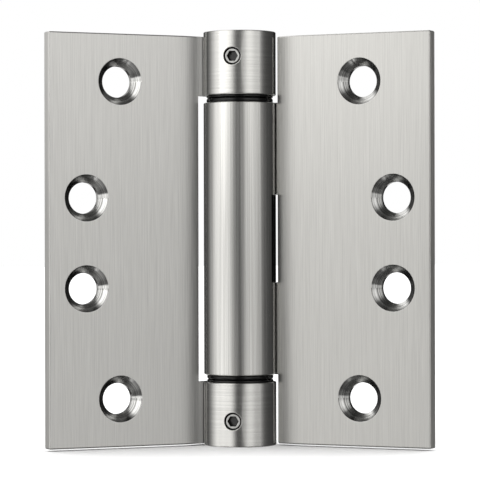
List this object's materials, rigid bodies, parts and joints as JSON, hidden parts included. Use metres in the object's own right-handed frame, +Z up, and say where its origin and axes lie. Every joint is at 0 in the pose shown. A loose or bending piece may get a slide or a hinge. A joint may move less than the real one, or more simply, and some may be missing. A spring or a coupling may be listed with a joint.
{
  "type": "self-closing spring hinge",
  "caption": "Square-cornered satin steel door hinge with a long spring barrel between two end knuckles, countersunk leaves and adjustable closing springs.",
  "frame": {"origin": "on the pin axis at the lower end of the lower end knuckle, in the mouth of its key socket", "axes": "+Z up the pin axis; the frame leaf lies towards -X with its countersunk face towards -Y; the door leaf stands folded 51 degrees from flat, towards -Y"},
  "size_m": [0.0858, 0.0479, 0.1033],
  "materials": {
    "satin_steel": "satin, brushed upright",
    "turned_steel": "turned",
    "spring_steel": "oiled spring wire",
    "black_steel": "black oxide",
    "black_plastic": "smooth black"
  },
  "bodies": {
    "frame_side": {"frame_leaf": "satin_steel", "lower_thrust_washer": "black_plastic", "upper_thrust_washer": "black_plastic", "lower_set_screw": "turned_steel", "upper_set_screw": "turned_steel"},
    "door_side": {"door_leaf": "satin_steel", "spring_anchor": "black_steel", "lower_flanged_bush": "black_plastic", "upper_flanged_bush": "black_plastic", "lower_torsion_spring": "spring_steel", "upper_torsion_spring": "spring_steel"},
    "lower_adjuster": {"lower_tension_plug": "turned_steel"},
    "upper_adjuster": {"upper_tension_plug": "turned_steel"}
  },
  "joints": [
    {"name": "door_swing", "type": "hinge", "parent": "frame_side", "child": "door_side", "pos_m": [0, 0, 0.05165], "axis": [0, 0, 1], "range_deg": [-129, 51], "stiffness_Nm_per_rad": 3.8, "deforming": ["lower_torsion_spring", "upper_torsion_spring"]},
    {"name": "lower_tension_turn", "type": "hinge", "parent": "frame_side", "child": "lower_adjuster", "pos_m": [0, 0, 0.008], "axis": [0, 0, 1], "range_deg": [-180, 0]},
    {"name": "upper_tension_turn", "type": "hinge", "parent": "frame_side", "child": "upper_adjuster", "pos_m": [0, 0, 0.0953], "axis": [0, 0, 1], "range_deg": [-180, 0]}
  ]
}
